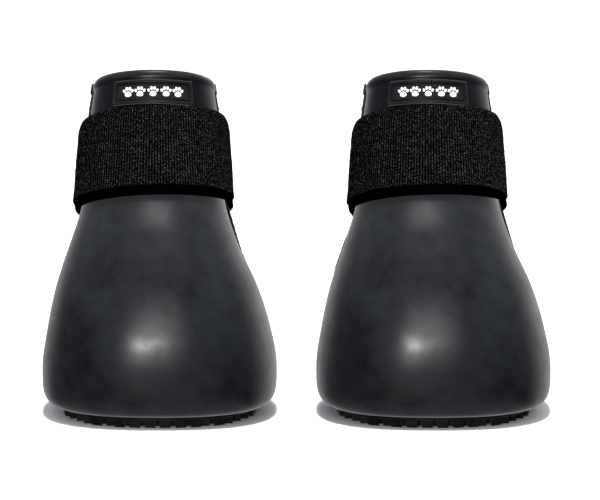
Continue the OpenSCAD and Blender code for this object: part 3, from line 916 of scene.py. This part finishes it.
def dome(centre, across, up, radius_a, radius_b, height, turn=0.0, pinch=0.0):
    """A low rounded button standing on a surface with axes across and up."""
    out = np.cross(across, up)
    angles = np.linspace(0, 2 * math.pi, 28, endpoint=False)
    levels = [(1, -0.25), (1, 0.55), (0.97, 0.78), (0.88, 0.92), (0.7, 0.98), (0.4, 1)]
    points = []
    for share, z in levels:
        x = radius_a * share * np.cos(angles)
        y = radius_b * share * np.sin(angles)
        x = x * (1 - pinch * y / radius_b)
        x, y = x * math.cos(turn) - y * math.sin(turn), x * math.sin(turn) + y * math.cos(turn)
        points.append(centre + np.outer(x, across) + np.outer(y, up) + out * z * height)
    return np.concatenate(points), stacked(len(levels), len(angles))


# A paw print: across, up, half width, half height, turn, how far its top is drawn in
PAW = [(0, -0.72, 1.02, 0.86, 0.0, 0.28), (-1.3, 0.3, 0.4, 0.52, 0.45, 0),
       (-0.48, 1.0, 0.42, 0.56, 0.12, 0), (0.48, 1.0, 0.42, 0.56, -0.12, 0),
       (1.3, 0.3, 0.4, 0.52, -0.45, 0)]


def paw_marks(side):
    """A row of paw prints, the generic mark on the badge."""
    parts = []
    middle = (BADGE_BOTTOM + BADGE_TOP) / 2
    for k in range(MARK_COUNT):
        phi = (k - MARK_COUNT // 2) * MARK_STEP
        base = skin(middle, phi, MARK_BASE)
        across = skin(middle, phi + 1, MARK_BASE) - skin(middle, phi - 1, MARK_BASE)
        up = skin(middle + 1, phi, MARK_BASE) - skin(middle - 1, phi, MARK_BASE)
        across /= np.linalg.norm(across)
        up = up - across * (up @ across)
        up /= np.linalg.norm(up)
        for x, y, a, b, turn, pinch in PAW:
            centre = base + across * x + up * y
            parts.append(dome(centre, across, up, a, b, MARK_RISE, turn, pinch))
    obj = new_object("paw_marks", side, *join_parts(parts), sharp=70)
    return dress(obj, "badge_white", f"{side}_badge_mark")


for side in ("left", "right"):
    fixed = [shell(side), rear_gusset(side), collar_binding(side), gusset_thread(side),
             outsole(side), *insole(side), anchor_thread(side), badge(side), paw_marks(side)]
    for obj in fixed:
        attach(obj, f"{side}_boot")
    bend = strap(side)
    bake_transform(tab_thread(side))
    for obj in hook_field(side):
        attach(obj, f"{side}_strap_tab")

# ---- floor, light and camera ---------------------------------------------------------------

FLOOR = 12  # metres from the middle to each side
floor_mesh = bpy.data.meshes.new("floor")
floor_mesh.from_pydata([(-FLOOR, -FLOOR, 0), (FLOOR, -FLOOR, 0), (FLOOR, FLOOR, 0),
                        (-FLOOR, FLOOR, 0)], [], [(0, 1, 2, 3)])
floor = bpy.data.objects.new("floor", floor_mesh)
bpy.context.scene.collection.objects.link(floor)
paper = Shader("floor_paper")
paper.set(Base_Color=(0.9, 0.9, 0.9, 1), Roughness=0.9, Specular_IOR_Level=0.1)
floor.data.materials.append(paper.material)
floor.visible_glossy = False

# What the boots mirror, from straight down to straight up: (sine of the angle of elevation, tone)
STUDIO = [(-0.8, 0.6), (-0.35, 0.06), (0.0, 0.12), (0.25, 0.32), (0.4, 0.5), (0.6, 0.6),
          (0.85, 0.78)]
COOL = (0.93, 0.98, 1.07)  # the studio's tint
BACKDROP_WAY = (0.2, 0.98, 0)  # towards the middle of the backdrop

world = bpy.data.worlds.new("studio")
bpy.context.scene.world = world
world.use_nodes = True
world.node_tree.nodes.clear()


def world_node(kind, inputs=(), **settings):
    return add_node(world.node_tree, kind, inputs, **settings)


way = world_node("TexCoord").outputs["Generated"]
height = world_node("SeparateXYZ", {0: way}).outputs[2]
tone = world_node("ValToRGB", {0: world_node("MapRange", {0: height, 1: -1}).outputs[0]})
set_stops(tone, [((rise + 1) / 2, tuple(c * grey for c in COOL)) for rise, grey in STUDIO])
# A white backdrop behind the boots, which rims their sides
toward = world_node("VectorMath", {0: way, 1: BACKDROP_WAY}, operation="DOT_PRODUCT")
backdrop = world_node("MapRange", {0: toward.outputs["Value"], 1: 0.5, 2: 0.95}).outputs[0]
both = world_node("MixRGB", {0: backdrop, 1: tone.outputs[0], 2: (1, 1, 1, 1)}).outputs[0]
room = world_node("Background", {0: both}).outputs[0]
sky = world_node("Background", {0: (1, 1, 1, 1), 1: 1.05}).outputs[0]
seen = world_node("LightPath").outputs["Is Camera Ray"]
shown = world_node("MixShader", {0: seen, 1: room, 2: sky}).outputs[0]
world_node("OutputWorld", {"Surface": shown})


def lamp(name, kind, place, target, power, size, glossy=True):
    """A sun, whose first size is its angle in degrees, or a rectangle of a size in metres."""
    data = bpy.data.lights.new(name, kind)
    data.energy = power
    if kind == "AREA":
        data.shape = "RECTANGLE"
        data.size, data.size_y = size
    else:
        data.angle = math.radians(size[0])
    obj = bpy.data.objects.new(name, data)
    obj.location = place
    obj.rotation_euler = (Vector(target) - Vector(place)).to_track_quat("-Z", "Y").to_euler()
    obj.visible_glossy = glossy
    obj.visible_camera = False
    bpy.context.scene.collection.objects.link(obj)


lamp("overhead", "SUN", (0, -0.24, 2), (0, 0, 0), 2.5, (3.0, 0), glossy=False)
lamp("top_softbox", "AREA", (0, 0, 1.25), (0, 0, 0.05), 5.5, (0.3, 0.3))
lamp("front_light", "AREA", (-0.3, -1.9, 0.13), (0, 0, 0.04), 18.5, (0.1, 0.08))
lamp("front_softbox", "AREA", (0, -1.15, 0.38), (0, 0, 0.05), 2.8, (0.6, 0.6))
lamp("rim_light", "AREA", (0.29, 1.09, 0.46), (0, 0, 0.05), 1.2, (0.4, 0.4))

SENSOR = 36  # mm
camera_data = bpy.data.cameras.new("camera")
camera_data.sensor_width = SENSOR
camera_data.clip_start, camera_data.clip_end = 0.05, 50
camera = bpy.data.objects.new("camera", camera_data)
bpy.context.scene.collection.objects.link(camera)
distance, elevation = 2.3, math.radians(8)
view_width = 0.1854  # metres that the picture's width shows at the aim
aim = Vector((0.00108, 0, 0.0502))
camera.location = aim + distance * Vector((0, -math.cos(elevation), math.sin(elevation)))
camera.rotation_euler = (aim - camera.location).to_track_quat("-Z", "Y").to_euler()
camera_data.lens = SENSOR * distance / view_width
bpy.context.scene.camera = camera
bpy.context.scene.view_settings.view_transform = "Standard"
